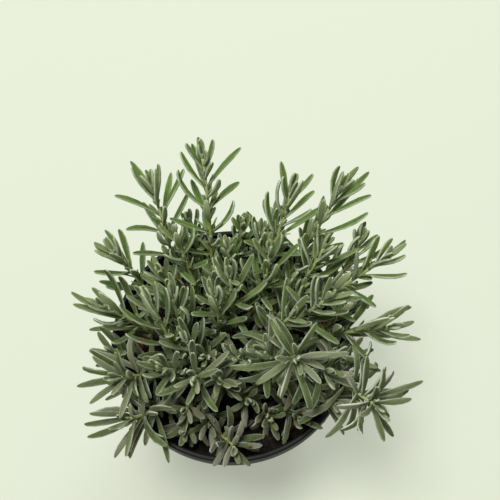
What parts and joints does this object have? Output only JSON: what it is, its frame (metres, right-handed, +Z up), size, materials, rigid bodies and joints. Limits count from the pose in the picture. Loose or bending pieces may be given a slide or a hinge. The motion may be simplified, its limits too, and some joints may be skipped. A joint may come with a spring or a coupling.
{
  "type": "potted lavender",
  "caption": "Young leafy lavender without flowers, dense upright and spreading shoots of narrow grey-green leaves, growing in a round black nursery pot with dark compost and bark chips",
  "frame": {"origin": "middle of the pot's flat underside, on the surface it stands on", "axes": "+Z up along the pot's axis, front at -Y, +X to the right seen from the front"},
  "size_m": [0.165, 0.1399, 0.1794],
  "materials": {
    "black_plastic": "satin",
    "compost": "matte",
    "bark": "matte",
    "lavender_leaf": "matte"
  },
  "bodies": {
    "root": {"bark_chip_back": "bark", "bark_chip_back_left": "bark", "bark_chip_back_right": "bark", "bark_chip_front": "bark", "bark_chip_front_left": "bark", "bark_chip_front_right": "bark", "bark_chip_left": "bark", "bark_chip_right": "bark", "pot": "black_plastic", "shoot_back_inner": "lavender_leaf", "shoot_back_left": "lavender_leaf", "shoot_back_left_inner": "lavender_leaf", "shoot_back_low_left": "lavender_leaf", "shoot_back_low_right": "lavender_leaf", "shoot_back_middle_small": "lavender_leaf", "shoot_back_right": "lavender_leaf", "shoot_back_rim_right": "lavender_leaf", "shoot_back_tall": "lavender_leaf", "shoot_front_inner": "lavender_leaf", "shoot_front_left": "lavender_leaf", "shoot_front_left_low": "lavender_leaf", "shoot_front_left_rim": "lavender_leaf", "shoot_front_left_soil": "lavender_leaf", "shoot_front_low": "lavender_leaf", "shoot_front_middle": "lavender_leaf", "shoot_front_right_low": "lavender_leaf", "shoot_front_rim": "lavender_leaf", "shoot_front_soil": "lavender_leaf", "shoot_front_tall": "lavender_leaf", "shoot_inner_back_left": "lavender_leaf", "shoot_inner_back_right": "lavender_leaf", "shoot_inner_front_left": "lavender_leaf", "shoot_inner_right": "lavender_leaf", "shoot_left_back_low": "lavender_leaf", "shoot_left_front": "lavender_leaf", "shoot_left_front_inner": "lavender_leaf", "shoot_left_inner": "lavender_leaf", "shoot_left_reach": "lavender_leaf", "shoot_left_rim": "lavender_leaf", "shoot_left_tall": "lavender_leaf", "shoot_left_tall_inner": "lavender_leaf", "shoot_middle": "lavender_leaf", "shoot_middle_back": "lavender_leaf", "shoot_middle_front": "lavender_leaf", "shoot_middle_high": "lavender_leaf", "shoot_middle_left": "lavender_leaf", "shoot_middle_right": "lavender_leaf", "shoot_right_back": "lavender_leaf", "shoot_right_back_low": "lavender_leaf", "shoot_right_between": "lavender_leaf", "shoot_right_centre": "lavender_leaf", "shoot_right_front_inner": "lavender_leaf", "shoot_right_front_low": "lavender_leaf", "shoot_right_inner": "lavender_leaf", "shoot_right_low": "lavender_leaf", "shoot_right_mid": "lavender_leaf", "shoot_right_reach": "lavender_leaf", "shoot_right_rim": "lavender_leaf", "shoot_right_rim_back": "lavender_leaf", "soil": "compost"}
  },
  "joints": []
}
